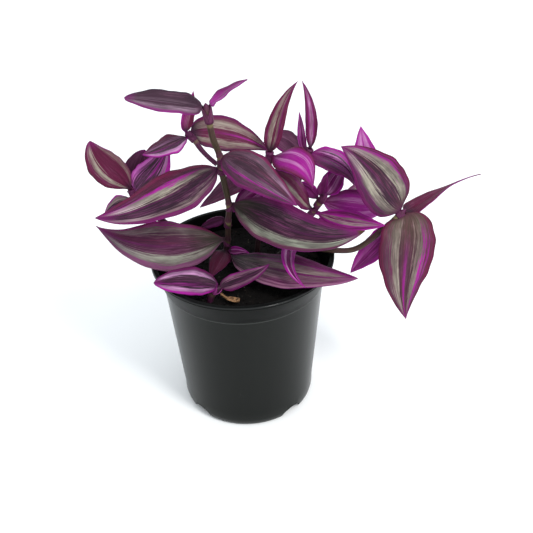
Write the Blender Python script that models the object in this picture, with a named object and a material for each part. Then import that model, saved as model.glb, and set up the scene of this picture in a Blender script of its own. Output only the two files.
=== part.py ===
"""Potted tradescantia: trailing stems with striped leaves, rooted in a thin plastic nursery pot.

Metres, +Z up. The origin is the centre of the pot's underside, on the surface that it stands on.
The growth plan below is in millimetres: each stem is a route from its root, each leaf a blade
that leaves its stem at one point of that route and ends at its own tip.
"""

import math
from collections import namedtuple

import bmesh
import bpy
from mathutils import Matrix, Vector

MM = 0.001
GAP = 0.3  # clearance between pieces that touch on the real plant

# Pot: outside sizes, all in millimetres.
POT_HEIGHT = 97.0
RIM_RADIUS = 52.0
COLLAR_TOP_RADIUS = 50.8
COLLAR_FOOT_RADIUS = 46.5
COLLAR_FOOT_Z = 83.0
WALL_TOP_RADIUS = 45.8
WALL_FOOT_RADIUS = 39.3
WALL_FOOT_Z = 10.0
FOOT_RADIUS = 37.2
FOOT_RING_WIDTH = 2.4
PAD_RADIUS = 22.0
CHANNEL_HEIGHT = 2.4
WALL = 1.2
LIP_HEIGHT = 1.6
POT_SEGMENTS = 36

# Arches in the wall's foot, where water drains, and the small nicks between them.
ARCH_COUNT = 4
ARCH_WIDTH = 15.0
ARCH_HEIGHT = 5.6
NICK_WIDTH = 5.0
NICK_HEIGHT = 0.9
ARCH_TURN_DEG = -3.0
ARCH_STEPS = 8
ARCH_SILL = 1.0  # how far each cutter starts under the pot
ARCH_START_RADIUS = 32.8
ARCH_REACH = 9.0

# Potting soil.
SOIL_TOP = 87.0
SOIL_SEGMENTS = 28
POCKET_DEPTH = 9.0

# Blades: how finely a leaf is divided, and the shape that all of them share.
BLADE_THICKNESS = 0.7
BLADE_STATIONS = 7
BLADE_STRIPS = 4
BASE_HALF_WIDTH = 1.3
TIP_HALF_WIDTH = 0.35
TIP_PULL = 0.12  # narrows the last stretch
EDGE_DROOP = 0.16
BASE_FOLD = 0.35  # share of the fold that the base has
FOLD_RISE = 3.0
LEAVE_SHARE = 0.18  # share of the length over which a leaf leaves its stem
BEND_SHARE = 0.62
BEND_GAIN = 1.33

# The shed leaf: both ends, on the soil, and how far it curls up at its edge.
DRY_LEAF_ENDS = ((-12, -29, 87.8), (-2, -35, 87.8))
DRY_LEAF_WIDTH = 5.0
DRY_LEAF_CURL = 1.1
DRY_LEAF_BLUNTNESS = 0.25  # share of the width that is left at either end

STEM_SIDES_RESOLUTION = 2
STEPS_PER_STRETCH = 3
POCKET_STEPS = 6

Stem = namedtuple("Stem", "radius route")
Leaf = namedtuple("Leaf", "stem at tip width facing arch sweep fold widest taper twist point",
                  defaults=(0.40, 0.85, 0, 0.85))
END = -1  # a leaf that goes on from the end of its stem

# Every rooted route starts POCKET_DEPTH under the soil's surface; a shoot starts on its carrier.
STEMS = {
    "front": Stem(1.8, ((-9, 8, 78), (-9, 7, 87), (-9, 6, 92), (-9, 5, 98), (-8, 3, 105),
                        (-7, 0, 119), (-6, -2, 131), (-9, -5, 155), (-9, -6, 162),
                        (-12, -9, 175), (-14, -12, 194))),
    "far_left": Stem(1.6, ((-24, 14, 78), (-25, 14, 87), (-34, 12, 102), (-47, 8, 119),
                           (-57, 4, 133), (-59, 4, 138))),
    "middle": Stem(1.7, ((8, 15, 78), (8, 15, 87), (11, 12, 110), (15, 8, 134), (16, 7, 147),
                         (17, 6, 157))),
    "back_right": Stem(1.6, ((18, 24, 78), (18, 24, 87), (25, 23, 108), (33, 20, 132),
                             (37, 17, 147), (39, 16, 153))),
    "inner_right": Stem(1.6, ((21, 9, 78), (21, 9, 87), (28, 8, 105), (41, 5, 121),
                              (44, 4, 127), (47, 2, 132))),
    "far_right": Stem(1.5, ((34, 22, 78), (34, 22, 87), (46, 20, 106), (59, 18, 118),
                            (70, 17, 128))),
    "right": Stem(1.7, ((15, 1, 78), (15, 1, 87), (26, 5, 96), (38, 2, 98), (52, -3, 98.9),
                        (65, -4, 101), (81, -4, 115), (90, -4, 125))),
    "low_front": Stem(2.0, ((-18, -29, 78), (-18, -29, 87), (-15, -28, 92), (-11, -28, 94))),
    "left_shoot": Stem(1.4, ((-11, -2, 155), (-15, 0, 158), (-19, 2, 162), (-22, 4, 166),
                             (-26, 6, 170))),
}

LEAVES = {
    # Front stem, from the crown down.
    "front_leaf_1": Leaf("front", 10, (-53, -14, 199), 17, (0, -0.35, 1), 0.1, -0.1, 20, 0.45, 0.4, 0, 0.55),
    "front_leaf_2": Leaf("front", 10, (7, -6, 203), 12, (-0.4, 0.0, 1), 0.05, 0.0, 24, 0.36, 0.4),
    "front_leaf_3": Leaf("front", 7, (-71, -38, 146), 28, (0, -0.4, 1), 0.02, -0.15, 12, 0.48, 0.8),
    "front_leaf_4": Leaf("front", 8, (30, -22, 140), 23, (0.2, -0.6, 1), 0.10, 0.03, 16),
    "front_leaf_5": Leaf("front", 6, (65, -28, 127), 27, (0, -0.8, 1), 0.03, 0.21, 22, 0.46, 1.05),
    "front_leaf_6": Leaf("front", 4, (-77, -14, 127), 30, (0, -0.8, 1), 0.04, -0.20, 14, 0.52, 1.0, 0, 1.2),
    "front_leaf_7": Leaf("front", 2, (61, -38, 104), 28, (0, -0.15, 1), 0.01, 0.10, 12, 0.52, 0.9),
    "front_leaf_8": Leaf("front", 3, (-18, -16, 92), 12, (0, -0.3, 1), 0.06, 0.0, 12),
    "front_leaf_9": Leaf("front", 5, (-24, 10, 109), 6, (0, -1, 0.2), 0.06, 0.0, 12),
    "front_leaf_10": Leaf("front", 3, (4, -9, 103), 5, (0, -1, 0.6), 0.08, -0.08, 20),
    # Side shoot of the front stem, towards the left.
    "left_shoot_leaf_1": Leaf("left_shoot", 4, (-49, -4, 163), 19, (0, -0.1, 1), -0.06, -0.06, 18, 0.5, 0.9),
    "left_shoot_leaf_2": Leaf("left_shoot", 4, (16, 14, 154), 21, (0, -0.8, 1), 0.12, -0.06, 14),
    "left_shoot_leaf_3": Leaf("left_shoot", END, (-22, 18, 188), 7, (0, -1, 0.3), 0.0, 0.04, 20),
    # Far left shoot.
    "far_left_leaf_1": Leaf("far_left", END, (-76, 0, 170), 20, (-0.2, -1, 0.4), 0.04, -0.1, 14, 0.55,
                            0.9, 0, 0.7),
    "far_left_leaf_2": Leaf("far_left", 4, (-51, 18, 155), 21, (0.2, -1, 0.4), 0, -0.04, 14, 0.5, 1.2,
                            0, 0.6),
    "far_left_leaf_3": Leaf("far_left", 5, (-37, 7, 163), 19, (0.2, -1, 0.4), 0.02, 0.10, 14),
    "far_left_leaf_4": Leaf("far_left", 4, (-73, -6, 129), 14, (0, -0.3, 1), 0.2, 0.0, 16),
    # Middle shoot.
    "middle_leaf_1": Leaf("middle", END, (32, 2, 198), 10, (0, -1, 0.4), 0.0, -0.10, 18, 0.36, 1.1),
    "middle_leaf_2": Leaf("middle", 5, (39, -8, 142), 20, (0, -0.4, 1), 0.64, 0.0, 16, 0.48, 1.1),
    "middle_leaf_3": Leaf("middle", 4, (-23, 12, 121), 14, (0, -0.6, 1), 0.04, 0.0, 14),
    "middle_leaf_4": Leaf("middle", 3, (-4, 4, 122), 16, (0, -0.6, 1), 0.1, 0.0, 14),
    # Back right shoot.
    "back_right_leaf_1": Leaf("back_right", END, (35, 20, 191), 7, (0, -1, 0.3), 0.0, 0.10, 18, 0.42, 1.2),
    "back_right_leaf_2": Leaf("back_right", 4, (14, 26, 153), 18, (0, -0.3, 1), 0.50, 0.0, 16),
    "back_right_leaf_3": Leaf("back_right", 5, (33, 10, 178), 5, (0, -1, 0.3), 0.0, 0.0, 24),
    "back_right_leaf_4": Leaf("back_right", 5, (63, 8, 134), 18, (0, -0.3, 1), 0.34, 0.0, 16),
    # Inner right shoot.
    "inner_right_leaf_1": Leaf("inner_right", 4, (86, 24, 110), 19, (0, -1, 0.3), 0.08, 0.0, 14, 0.50, 0.9),
    "inner_right_leaf_2": Leaf("inner_right", 3, (78, -12, 120), 14.5, (0, -0.5, 1), 0.08, 0.1, 14, 0.5, 1.1),
    "inner_right_leaf_3": Leaf("inner_right", 5, (47, -4, 148), 6, (0, -1, 0.3), 0.0, 0.0, 24),
    "inner_right_leaf_4": Leaf("inner_right", 3, (17, -4, 152), 16, (0, -0.5, 1), 0.1, 0.0, 16, 0.55, 0.8),
    "inner_right_leaf_5": Leaf("inner_right", 5, (58, 20, 139), 13, (0, -1, 0.4), 0.1, -0.06, 16, 0.45, 1.0),
    "inner_right_leaf_6": Leaf("inner_right", 2, (33, -43, 103), 9, (0, -1, 0.5), 0.1, 0.18, 26),
    # Far right shoot, mostly under the others.
    "inner_right_leaf_7": Leaf("inner_right", 4, (31.5, 18, 131), 8, (0, -1, 0.6), 0.05, 0.1, 14, 0.5, 1.0),
    "far_right_leaf_1": Leaf("far_right", END, (66, 13, 167), 17, (0, -1, 0.4), 0.0, 0.0, 12, 0.38, 0.85),
    # Right shoot, which runs out over the rim.
    "right_leaf_1": Leaf("right", 7, (54, -4, 164), 30, (0.3, -1, 0.5), 0.04, 0.09, 12),
    "right_leaf_2": Leaf("right", 7, (135, 18, 133), 12, (0, -0.4, 1), 0.05, -0.05, 20, 0.26, 0.9, -70, 1.3),
    "right_leaf_3": Leaf("right", 7, (91, -24, 65), 31.5, (0, -1, 0.3), 0.10, 0.08, 10, 0.38, 0.6, 0, 1.0),
    "right_leaf_4": Leaf("right", 6, (62, 2, 80), 15, (-0.4, -1, -0.3), 0.1, 0.03, 16),
    # Small shoot low at the front.
    "low_front_leaf_1": Leaf("low_front", 3, (-47, -32, 101), 17, (0, -0.6, 1), 0.12, 0, 16, 0.5, 0.7,
                             0, 0.6),
    "low_front_leaf_2": Leaf("low_front", 3, (15, -22, 104), 10, (0, -0.6, 1), 0.04, 0.1, 16),
    # Leaves at the back, which fill the plant out on the side away from the front stem.
    "back_right_leaf_5": Leaf("back_right", 3, (28, 62, 122), 18, (0, 0.2, 1), 0.14, 0.0, 14),
    "middle_leaf_5": Leaf("middle", 3, (0, 50, 120), 20, (0, 0.2, 1), 0.14, 0.0, 14),
    "far_left_leaf_5": Leaf("far_left", 3, (-60, 45, 112), 18, (0, 0.2, 1), 0.14, 0.0, 14),
    "far_right_leaf_2": Leaf("far_right", 3, (92, 48, 112), 20, (0, 0.2, 1), 0.14, 0.0, 14),
}


def clear_scene():
    for obj in list(bpy.data.objects):
        bpy.data.objects.remove(obj, do_unlink=True)


def make_material(name, color, roughness):
    material = bpy.data.materials.new(name)
    material.use_nodes = True
    shader = material.node_tree.nodes["Principled BSDF"]
    shader.inputs["Base Color"].default_value = (*color, 1.0)
    shader.inputs["Roughness"].default_value = roughness
    shader.inputs["Metallic"].default_value = 0.0
    return material


def add_object(name, mesh, material):
    obj = bpy.data.objects.new(name, mesh)
    mesh.materials.append(material)
    bpy.context.scene.collection.objects.link(obj)
    return obj


def mesh_from(bm, name):
    mesh = bpy.data.meshes.new(name)
    bm.to_mesh(mesh)
    bm.free()
    return mesh


def lathe(name, profile, segments, material):
    """A closed round body from (radius, height) points, each in millimetres, run bottom to top."""
    bm = bmesh.new()
    points = [bm.verts.new((radius * MM, 0.0, z * MM)) for radius, z in profile]
    for start, end in zip(points, points[1:]):
        bm.edges.new((start, end))
    bmesh.ops.spin(bm, geom=bm.verts[:] + bm.edges[:], cent=(0, 0, 0), axis=(0, 0, 1),
                   angle=math.tau, steps=segments, use_merge=True)
    bmesh.ops.remove_doubles(bm, verts=bm.verts[:], dist=0.01 * MM)
    bmesh.ops.recalc_face_normals(bm, faces=bm.faces[:])
    mesh = mesh_from(bm, name)
    mesh.shade_smooth()
    mesh.set_sharp_from_angle(angle=math.radians(35))
    return add_object(name, mesh, material)


def cut(target, cutter, solver="EXACT"):
    """Takes the cutter's shape out of the target, and keeps the cutter as a hidden wire."""
    cutter.hide_render = True
    cutter.display_type = "WIRE"
    boolean = target.modifiers.new("cut_" + cutter.name, "BOOLEAN")
    boolean.operation = "DIFFERENCE"
    boolean.solver = solver
    boolean.object = cutter


def pot_inner_radius(z):
    """Inside radius of the pot's wall at a height between its foot and the collar."""
    share = (z - WALL_FOOT_Z) / (COLLAR_FOOT_Z - WALL_FOOT_Z)
    return WALL_FOOT_RADIUS + share * (WALL_TOP_RADIUS - WALL_FOOT_RADIUS) - WALL


def pot_profile():
    ring_inner = FOOT_RADIUS - FOOT_RING_WIDTH
    outside = [
        (0.0, 0.0),
        (PAD_RADIUS, 0.0),
        (PAD_RADIUS + 3.0, CHANNEL_HEIGHT),
        (ring_inner - 1.0, CHANNEL_HEIGHT),
        (ring_inner, 0.0),
        (FOOT_RADIUS, 0.0),
        (FOOT_RADIUS + 1.2, 1.6),
        (FOOT_RADIUS + 2.0, 4.8),
        (WALL_FOOT_RADIUS, WALL_FOOT_Z),
        (WALL_TOP_RADIUS, COLLAR_FOOT_Z - 0.8),
        (COLLAR_FOOT_RADIUS, COLLAR_FOOT_Z),
        (COLLAR_TOP_RADIUS, POT_HEIGHT - LIP_HEIGHT - 0.5),
        (RIM_RADIUS, POT_HEIGHT - LIP_HEIGHT),
        (RIM_RADIUS, POT_HEIGHT - 0.4),
        (RIM_RADIUS - 0.4, POT_HEIGHT),
    ]
    inside = [
        (COLLAR_TOP_RADIUS - 1.6, POT_HEIGHT),
        (COLLAR_TOP_RADIUS - WALL - 0.9, POT_HEIGHT - LIP_HEIGHT),
        (COLLAR_FOOT_RADIUS - WALL - 0.4, COLLAR_FOOT_Z),
        (WALL_FOOT_RADIUS - WALL, WALL_FOOT_Z),
        (FOOT_RADIUS + 0.6, 6.0),
        (FOOT_RADIUS - 1.4, CHANNEL_HEIGHT + WALL),
        (PAD_RADIUS + 2.4, CHANNEL_HEIGHT + WALL),
        (PAD_RADIUS - 0.6, WALL),
        (0.0, WALL),
    ]
    return outside + inside


def arch_cutter(name, width, height, degrees, material):
    """A round-topped bar that crosses the pot's wall at its foot, at one bearing from the front."""
    bearing = math.radians(degrees)
    outward = Vector((math.sin(bearing), -math.cos(bearing), 0.0))
    along = Vector((math.cos(bearing), math.sin(bearing), 0.0))
    sill = Vector((0, 0, -ARCH_SILL))
    bm = bmesh.new()
    ring = [bm.verts.new((along * -width / 2 + sill) * MM)]
    for step in range(ARCH_STEPS + 1):
        angle = math.pi * (1 - step / ARCH_STEPS)
        corner = along * (math.cos(angle) * width / 2) + Vector((0, 0, math.sin(angle) * height))
        ring.append(bm.verts.new(corner * MM))
    ring.append(bm.verts.new((along * width / 2 + sill) * MM))
    face = bm.faces.new(ring)
    bmesh.ops.translate(bm, verts=ring, vec=outward * ARCH_START_RADIUS * MM)
    pushed = bmesh.ops.extrude_face_region(bm, geom=[face])
    moved = [item for item in pushed["geom"] if isinstance(item, bmesh.types.BMVert)]
    bmesh.ops.translate(bm, verts=moved, vec=outward * ARCH_REACH * MM)
    bmesh.ops.recalc_face_normals(bm, faces=bm.faces[:])
    return add_object(name, mesh_from(bm, name), material)


def build_pot(material):
    pot = lathe("pot", pot_profile(), POT_SEGMENTS, material)
    quarter = 360.0 / ARCH_COUNT
    for number in range(ARCH_COUNT):
        turn = ARCH_TURN_DEG + number * quarter
        arch = arch_cutter(f"arch_{number}", ARCH_WIDTH, ARCH_HEIGHT, turn + quarter / 2, material)
        nick = arch_cutter(f"nick_{number}", NICK_WIDTH, NICK_HEIGHT, turn, material)
        # Both meshes are closed, and on a wall this thin EXACT can leave doubled edges.
        cut(pot, arch, "MANIFOLD")
        cut(pot, nick, "MANIFOLD")


def build_soil(material):
    top_radius = COLLAR_FOOT_RADIUS - WALL + 0.1
    profile = [
        (0.0, WALL + GAP),
        (PAD_RADIUS - 1.2, WALL + GAP),
        (PAD_RADIUS + 1.9, CHANNEL_HEIGHT + WALL + GAP),
        (FOOT_RADIUS - 2.4, CHANNEL_HEIGHT + WALL + GAP),
        (FOOT_RADIUS - 0.1, 6.3),
        (pot_inner_radius(WALL_FOOT_Z + 0.5) - GAP, WALL_FOOT_Z + 0.5),
        (pot_inner_radius(COLLAR_FOOT_Z - 1.0) - 2 * GAP, COLLAR_FOOT_Z - 1.0),
        (top_radius, SOIL_TOP - 1.2),
        (top_radius - 1.6, SOIL_TOP - 0.2),
        (top_radius * 0.6, SOIL_TOP),
        (0.0, SOIL_TOP),
    ]
    return lathe("soil", profile, SOIL_SEGMENTS, material)


def smooth_route(points, steps):
    """Points of a smooth curve through the route's own points (Catmull-Rom)."""
    ends = [2 * points[0] - points[1], *points, 2 * points[-1] - points[-2]]
    curve = []
    for before, start, end, after in zip(ends, ends[1:], ends[2:], ends[3:]):
        for step in range(steps):
            t = step / steps
            curve.append(0.5 * (2 * start + (end - before) * t
                                + (2 * before - 5 * start + 4 * end - after) * t ** 2
                                + (3 * start - before - 3 * end + after) * t ** 3))
    curve.append(points[-1])
    return curve


def tube(name, path, radius, material):
    """A round stem along a path of points in millimetres."""
    curve = bpy.data.curves.new(name, "CURVE")
    curve.dimensions = "3D"
    curve.bevel_depth = radius * MM
    curve.bevel_resolution = STEM_SIDES_RESOLUTION
    curve.use_fill_caps = True
    spline = curve.splines.new("POLY")
    spline.points.add(len(path) - 1)
    for place, point in zip(spline.points, path):
        place.co = (*(point * MM), 1.0)
    return add_object(name, curve, material)


def pocket_cutter(name, path, radius, material):
    """The hole in the soil that a stem's root stretch stands in, as a mesh."""
    deep = path[0] - (path[1] - path[0]).normalized() * GAP
    guide = tube(name + "_guide", [deep] + path[1:POCKET_STEPS], radius + GAP, material)
    bpy.context.view_layer.update()
    solid = guide.evaluated_get(bpy.context.evaluated_depsgraph_get())
    mesh = bpy.data.meshes.new_from_object(solid)
    bpy.data.objects.remove(guide, do_unlink=True)
    bm = bmesh.new()
    bm.from_mesh(mesh)
    bmesh.ops.remove_doubles(bm, verts=bm.verts[:], dist=0.005 * MM)
    bmesh.ops.recalc_face_normals(bm, faces=bm.faces[:])
    return add_object(name, mesh_from(bm, name), material)


def build_stems(soil, material):
    for name, stem in STEMS.items():
        path = smooth_route([Vector(point) for point in stem.route], STEPS_PER_STRETCH)
        tube(name + "_stem", path, stem.radius, material)
        if path[0].z < SOIL_TOP:
            cut(soil, pocket_cutter(name + "_pocket", path, stem.radius, material))


def half_width(share, widest=0.40, taper=0.85, point=0.85):
    """Outline of a blade: drawn in at the base, widest where the leaf says, drawn out at the tip."""
    power = math.log(0.5) / math.log(widest)
    swell = max(math.sin(math.pi * share ** power), 0.0) ** (taper if share < widest else point)
    return swell * (1.0 - TIP_PULL * share ** 6)


def base_half_width(leaf):
    return min(BASE_HALF_WIDTH, 0.12 * leaf.width)


def seat(leaf):
    """Where the leaf starts, clear of its stem, and the direction in which it leaves it."""
    stem = STEMS[leaf.stem]
    node = Vector(stem.route[leaf.at])
    last = leaf.at in (END, len(stem.route) - 1)
    before = Vector(stem.route[leaf.at - 1])
    after = node if last else Vector(stem.route[leaf.at + 1])
    axis = (after - before).normalized()
    if leaf.at == END:
        return node + axis * 2 * GAP, axis
    chord = Vector(leaf.tip) - node
    out = (chord - chord.dot(axis) * axis).normalized()
    if last:
        node = node - axis * (base_half_width(leaf) + 0.4)
    return node + out * (stem.radius + 1.5 * GAP), out


def midrib(leaf):
    """Control points of the leaf's midrib, a Bezier curve from its seat to its tip."""
    start, out = seat(leaf)
    tip = Vector(leaf.tip)
    length = (tip - start).length
    along = (tip - start).normalized()
    up = Vector(leaf.facing)
    up = (up - up.dot(along) * along).normalized()
    side = along.cross(up)
    lean = up * leaf.arch * length + side * leaf.sweep * length
    leave = (out + along).normalized()
    return (
        start,
        start + leave * LEAVE_SHARE * length,
        start + along * BEND_SHARE * length + lean * BEND_GAIN,
        tip,
    )


def bezier(points, t):
    a, b, c, d = points
    s = 1 - t
    place = a * s ** 3 + b * 3 * s * s * t + c * 3 * s * t * t + d * t ** 3
    slope = (b - a) * s * s + (c - b) * 2 * s * t + (d - c) * t * t
    return place, slope.normalized()


def blade_point(leaf, points, share, across):
    """A place on the blade: share runs from base to tip, across from one edge (-1) to the other."""
    place, along = bezier(points, share)
    if share < 0.01:
        along = seat(leaf)[1]
    up = Vector(leaf.facing)
    up = (up - up.dot(along) * along).normalized()
    up = Matrix.Rotation(math.radians(leaf.twist) * share, 3, along) @ up
    side = along.cross(up)
    wide = leaf.width / 2 * half_width(share, leaf.widest, leaf.taper, leaf.point)
    wide = max(wide, base_half_width(leaf) if share < 0.5 else TIP_HALF_WIDTH)
    fold = math.radians(leaf.fold) * min(1.0, BASE_FOLD + share * FOLD_RISE)
    lift = abs(across) * math.sin(fold) - EDGE_DROOP * across ** 2
    if share == 0.0:
        lift = 0.0
    return place + side * across * wide * math.cos(fold) + up * lift * wide


def thicken(obj):
    shell = obj.modifiers.new("thickness", "SOLIDIFY")
    shell.thickness = BLADE_THICKNESS * MM
    shell.offset = 0.0


def build_leaf(name, leaf, material):
    bm = bmesh.new()
    bmesh.ops.create_grid(bm, x_segments=BLADE_STATIONS, y_segments=BLADE_STRIPS, size=0.5)
    points = midrib(leaf)
    for vert in bm.verts:
        share = vert.co.x + 0.5
        vert.co = blade_point(leaf, points, share, 2 * vert.co.y) * MM
    bmesh.ops.recalc_face_normals(bm, faces=bm.faces[:])
    mesh = mesh_from(bm, name)
    mesh.shade_smooth()
    thicken(add_object(name, mesh, material))


def build_dry_leaf(material):
    """A shed, curled leaf that lies on the soil."""
    bm = bmesh.new()
    bmesh.ops.create_grid(bm, x_segments=4, y_segments=2, size=0.5)
    start, end = (Vector(point) for point in DRY_LEAF_ENDS)
    side = Vector((0, 0, 1)).cross(end - start).normalized()
    for vert in bm.verts:
        share = vert.co.x + 0.5
        across = 2 * vert.co.y
        wide = DRY_LEAF_WIDTH / 2 * max(half_width(share), DRY_LEAF_BLUNTNESS)
        curl = DRY_LEAF_CURL * ((2 * share - 1) ** 2 + across ** 2)
        vert.co = (start.lerp(end, share) + side * across * wide + Vector((0, 0, curl))) * MM
    bmesh.ops.recalc_face_normals(bm, faces=bm.faces[:])
    mesh = mesh_from(bm, "dry_leaf")
    mesh.shade_smooth()
    thicken(add_object("dry_leaf", mesh, material))


def build():
    clear_scene()
    plastic = make_material("pot_plastic", (0.03, 0.032, 0.032), 0.35)
    earth = make_material("soil", (0.02, 0.015, 0.012), 0.95)
    stalk = make_material("stem", (0.12, 0.09, 0.04), 0.5)
    green = make_material("leaf", (0.16, 0.03, 0.12), 0.4)
    build_pot(plastic)
    soil = build_soil(earth)
    build_stems(soil, stalk)
    for name, leaf in LEAVES.items():
        build_leaf(name, leaf, green)
    build_dry_leaf(make_material("dry_leaf", (0.42, 0.26, 0.12), 0.8))


build()
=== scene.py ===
# %% [markdown]
# # A potted tradescantia
#
# A trailing houseplant with striped purple and silver leaves, in the thin black pot that nurseries sell
# it in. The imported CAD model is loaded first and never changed. Each of its solids is then stood for by a
# finer piece that follows the same growth plan: routes for the stems, and a base, a tip and a width for
# every leaf.

# %% Load the frame
import math
import random
from collections import namedtuple

import bmesh
import bpy
from mathutils import Matrix, Vector, noise


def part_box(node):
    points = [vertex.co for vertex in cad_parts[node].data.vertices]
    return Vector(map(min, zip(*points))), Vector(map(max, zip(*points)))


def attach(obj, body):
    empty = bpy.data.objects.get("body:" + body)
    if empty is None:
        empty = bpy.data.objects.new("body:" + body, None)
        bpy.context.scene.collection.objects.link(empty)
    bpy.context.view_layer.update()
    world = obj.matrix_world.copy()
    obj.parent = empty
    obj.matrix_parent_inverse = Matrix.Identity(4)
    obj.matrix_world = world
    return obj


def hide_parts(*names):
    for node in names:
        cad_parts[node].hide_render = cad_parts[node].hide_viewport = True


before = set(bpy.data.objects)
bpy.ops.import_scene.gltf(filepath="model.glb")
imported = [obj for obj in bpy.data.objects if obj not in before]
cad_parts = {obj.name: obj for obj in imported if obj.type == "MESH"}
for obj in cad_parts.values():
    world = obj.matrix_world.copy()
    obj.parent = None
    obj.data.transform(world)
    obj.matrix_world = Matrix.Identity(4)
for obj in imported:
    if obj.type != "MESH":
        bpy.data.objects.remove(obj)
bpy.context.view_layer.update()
MM = 0.001

# %% Mesh helpers
def mesh_of(bm, name, smooth=True):
    mesh = bpy.data.meshes.new(name)
    bm.to_mesh(mesh)
    bm.free()
    if smooth:
        mesh.shade_smooth()
    return mesh


def object_of(data, name):
    made = bpy.data.objects.new(name, data)
    bpy.context.scene.collection.objects.link(made)
    return made


def flat_grid(rows, strips):
    """A flat grid of side 1, with a UV map."""
    bm = bmesh.new()
    bm.loops.layers.uv.new("UVMap")
    bmesh.ops.create_grid(bm, x_segments=rows, y_segments=strips, size=0.5, calc_uvs=True)
    return bm


print("mesh helpers ready")

# %% [markdown]
# ## Camera
#
# The plant is seen from the front and a little above, from half a metre away. The lens is a mild telephoto,
# and the camera is turned about two degrees round its own axis. It is set up first, so that every later
# step can be looked at from the place that matters.

# %% Camera
CAMERA_TARGET = Vector((13.3, 0.0, 87.5)) * MM
CAMERA_DISTANCE = 487.0 * MM
CAMERA_ELEVATION = math.radians(34.4)
CAMERA_ROLL = math.radians(-1.9)
FOCAL_IN_WIDTHS = 1.5947467  # the focal length, in widths of the sensor

back = Vector((0.0, -math.cos(CAMERA_ELEVATION), math.sin(CAMERA_ELEVATION)))
right = Vector((1.0, 0.0, 0.0))
up = back.cross(right)
camera_data = bpy.data.cameras.new("camera")
camera_data.sensor_width = 36.0
camera_data.lens = FOCAL_IN_WIDTHS * camera_data.sensor_width
camera_data.clip_start = 0.01
camera = object_of(camera_data, "camera")
turn = Matrix.Rotation(CAMERA_ROLL, 4, "Z")
axes = Matrix((right, up, back)).transposed().to_4x4()
camera.matrix_world = Matrix.Translation(CAMERA_TARGET + back * CAMERA_DISTANCE) @ axes @ turn
bpy.context.scene.camera = camera
print("lens:", round(camera_data.lens, 1), "mm")

# %% [markdown]
# ## Shader arithmetic
#
# Procedural finishes are mostly arithmetic on masks. A small class wraps a shader socket and overloads the
# operators, so that `1 - mask` or `band * strength` each add a Math node. Colours are blended with
# Mix nodes, because a Math node would turn them grey, and are laid over one another like coats of paint.
# Every node comes from one method.

# %% Signal and Finish
class Signal:
    """A shader output that takes part in Python arithmetic."""

    def __init__(self, finish, socket):
        self.finish = finish
        self.socket = socket

    def math(self, operation, *values):
        sockets = dict(enumerate(values))
        return self.finish.node("ShaderNodeMath", {"operation": operation}, sockets)

    def __pow__(self, other):
        return self.math("POWER", self, other)

    def __abs__(self):
        return self.math("ABSOLUTE", self)


for sign, operation in (("add", "ADD"), ("sub", "SUBTRACT"), ("mul", "MULTIPLY")):
    setattr(Signal, f"__{sign}__", lambda one, two, kind=operation: one.math(kind, one, two))
    setattr(Signal, f"__r{sign}__", lambda one, two, kind=operation: one.math(kind, two, one))


class Finish:
    """A material on the Principled shader. Constants go straight to the shader's sockets."""

    def __init__(self, name, **constants):
        self.material = bpy.data.materials.new(name)
        self.material.use_nodes = True
        self.tree = self.material.node_tree
        self.shader = self.tree.nodes["Principled BSDF"]
        for socket, value in constants.items():
            self.shader.inputs[socket.replace("_", " ")].default_value = value

    def node(self, kind, settings=None, sockets=None, output=0):
        made = self.tree.nodes.new(kind)
        for key, value in (settings or {}).items():
            setattr(made, key, value)
        for key, value in (sockets or {}).items():
            if isinstance(value, Signal):
                self.tree.links.new(value.socket, made.inputs[key])
            else:
                made.inputs[key].default_value = value
        return Signal(self, made.outputs[output])

    def feed(self, socket, signal):
        self.tree.links.new(signal.socket, self.shader.inputs[socket])

    def carried(self, name):
        """A vector or colour that the mesh carries."""
        return self.node("ShaderNodeAttribute", {"attribute_name": name}, output="Vector")

    def attribute(self, name):
        """The three numbers of a vector that the mesh carries."""
        return self.split(self.carried(name))

    def split(self, vector):
        made = self.node("ShaderNodeSeparateXYZ", None, {0: vector}).socket.node
        return [Signal(self, output) for output in made.outputs]

    def join(self, x, y, z):
        return self.node("ShaderNodeCombineXYZ", None, {0: x, 1: y, 2: z})

    def coordinates(self, output):
        return self.node("ShaderNodeTexCoord", output=output)

    def noise(self, vector, scale, detail=3.0, roughness=0.55):
        sockets = {"Vector": vector, "Scale": scale, "Detail": detail, "Roughness": roughness}
        return self.node("ShaderNodeTexNoise", None, sockets)

    def rise(self, value, low, high):
        """0 below low, 1 above high, and smooth between."""
        sockets = {0: value, 1: low, 2: high}
        return self.node("ShaderNodeMapRange", {"interpolation_type": "SMOOTHSTEP"}, sockets)

    def mix(self, factor, first, second, blend="MIX"):
        first, second = ((*c, 1.0) if isinstance(c, tuple) else c for c in (first, second))
        settings = {"data_type": "RGBA", "blend_type": blend}
        return self.node("ShaderNodeMix", settings, {0: factor, 6: first, 7: second}, output=2)

    def layers(self, color, *coats):
        """Lays coats over a colour, from the ground up. Each is a mask and a colour of its own."""
        for mask, coat in coats:
            color = self.mix(mask, color, coat)
        return color

    def shaded(self, color, shade):
        """The colour, made lighter or darker as a whole."""
        return self.mix(1.0, color, self.join(shade, shade, shade), "MULTIPLY")

    def done(self, color, roughness, height, strength, distance):
        """Feeds the shader, with a bump of this height, and hands over the material."""
        self.feed("Base Color", color)
        self.feed("Roughness", roughness)
        sockets = {"Strength": strength, "Distance": distance * MM, "Height": height}
        self.feed("Normal", self.node("ShaderNodeBump", None, sockets))
        return self.material


WHITE_LEVEL = 1.35  # how bright a white card on this table is


def srgb(red, green, blue):
    """A colour as it looks on this table, 0 to 255, turned into the share of light that a surface returns."""
    def linear(value):
        value /= 255.0
        value = value / 12.92 if value <= 0.04045 else ((value + 0.055) / 1.055) ** 2.4
        return value / WHITE_LEVEL
    return linear(red), linear(green), linear(blue)


print("shader helpers ready")

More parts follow.
